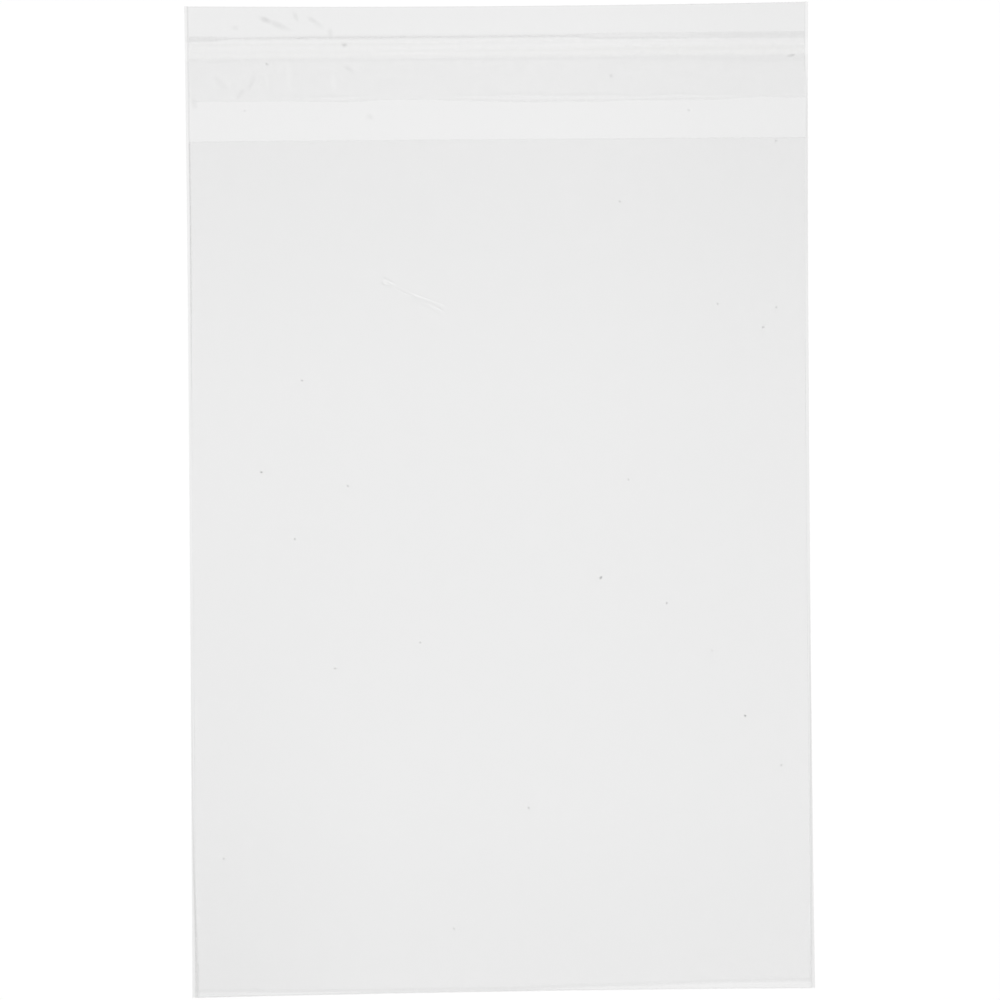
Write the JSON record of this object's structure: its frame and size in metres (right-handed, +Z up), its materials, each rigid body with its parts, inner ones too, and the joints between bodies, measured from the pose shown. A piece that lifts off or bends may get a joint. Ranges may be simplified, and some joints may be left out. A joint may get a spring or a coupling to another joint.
{
  "type": "cellophane bag",
  "caption": "Flat clear film card bag, folded at the bottom and side-welded, with an open self-seal flap carrying an adhesive line under a release liner.",
  "frame": {"origin": "centre of the bag's bounding box, on the surface that the back panel lies on", "axes": "+X across the bag to the right as seen from the front panel, +Y from the bottom fold to the flap, +Z up out of the front panel"},
  "size_m": [0.12, 0.191, 0.0012],
  "materials": {
    "clear_film": "clear, glossy polypropylene film with a faint haze",
    "clear_adhesive": "clear tacky adhesive, faintly yellow and streaked lengthwise",
    "clear_liner": "clear siliconed film, slightly less glossy than the bag"
  },
  "bodies": {
    "root": {"bag_film": "clear_film", "adhesive_strip": "clear_adhesive", "release_liner": "clear_liner"}
  },
  "joints": []
}
